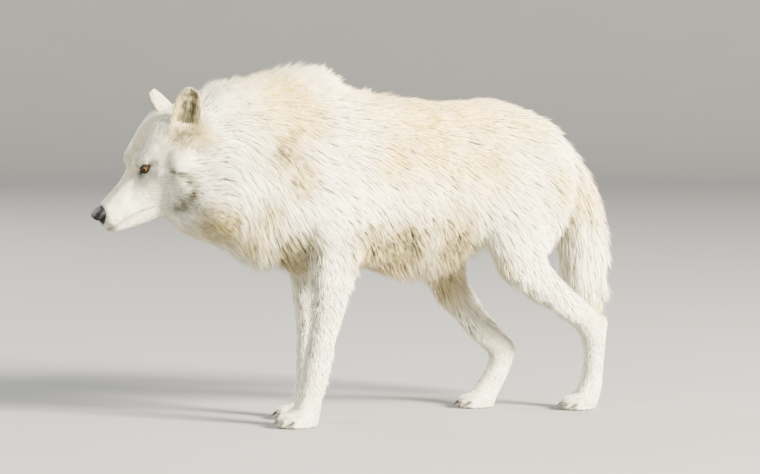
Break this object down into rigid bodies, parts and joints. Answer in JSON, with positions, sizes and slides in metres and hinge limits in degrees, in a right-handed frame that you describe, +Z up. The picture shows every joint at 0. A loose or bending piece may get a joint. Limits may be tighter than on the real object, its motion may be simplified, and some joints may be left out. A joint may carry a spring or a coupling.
{
  "type": "arctic wolf",
  "caption": "Life-size arctic wolf as a still model, walking with its head low, in a thick white winter coat with a cream back, a deep ruff and a hanging brush of a tail",
  "frame": {"origin": "on the floor, under the middle of the wolf's box", "axes": "+Z up, the wolf walks towards -X, its left side is at -Y"},
  "size_m": [1.2294, 0.2932, 0.754],
  "materials": {
    "coat": "long soft fur, creamy white",
    "ear": "short fur, white outside and tan inside",
    "eye": "wet and clear over an amber iris",
    "nose": "fine pebbled, moist",
    "claw": "worn horn, dark"
  },
  "bodies": {
    "root": {"trunk": "coat", "neck": "coat", "head": "coat", "lower_jaw": "coat", "tail": "coat", "ear_left": "ear", "ear_right": "ear", "eye_left": "eye", "eye_right": "eye", "nose": "nose", "foreleg_left_upper": "coat", "foreleg_left_lower": "coat", "foreleg_left_paw": "coat", "foreleg_left_claw_inner": "claw", "foreleg_left_claw_mid_inner": "claw", "foreleg_left_claw_mid_outer": "claw", "foreleg_left_claw_outer": "claw", "foreleg_right_upper": "coat", "foreleg_right_lower": "coat", "foreleg_right_paw": "coat", "foreleg_right_claw_inner": "claw", "foreleg_right_claw_mid_inner": "claw", "foreleg_right_claw_mid_outer": "claw", "foreleg_right_claw_outer": "claw", "hindleg_left_upper": "coat", "hindleg_left_lower": "coat", "hindleg_left_paw": "coat", "hindleg_left_claw_inner": "claw", "hindleg_left_claw_mid_inner": "claw", "hindleg_left_claw_mid_outer": "claw", "hindleg_left_claw_outer": "claw", "hindleg_right_upper": "coat", "hindleg_right_lower": "coat", "hindleg_right_paw": "coat", "hindleg_right_claw_inner": "claw", "hindleg_right_claw_mid_inner": "claw", "hindleg_right_claw_mid_outer": "claw", "hindleg_right_claw_outer": "claw"}
  },
  "joints": []
}
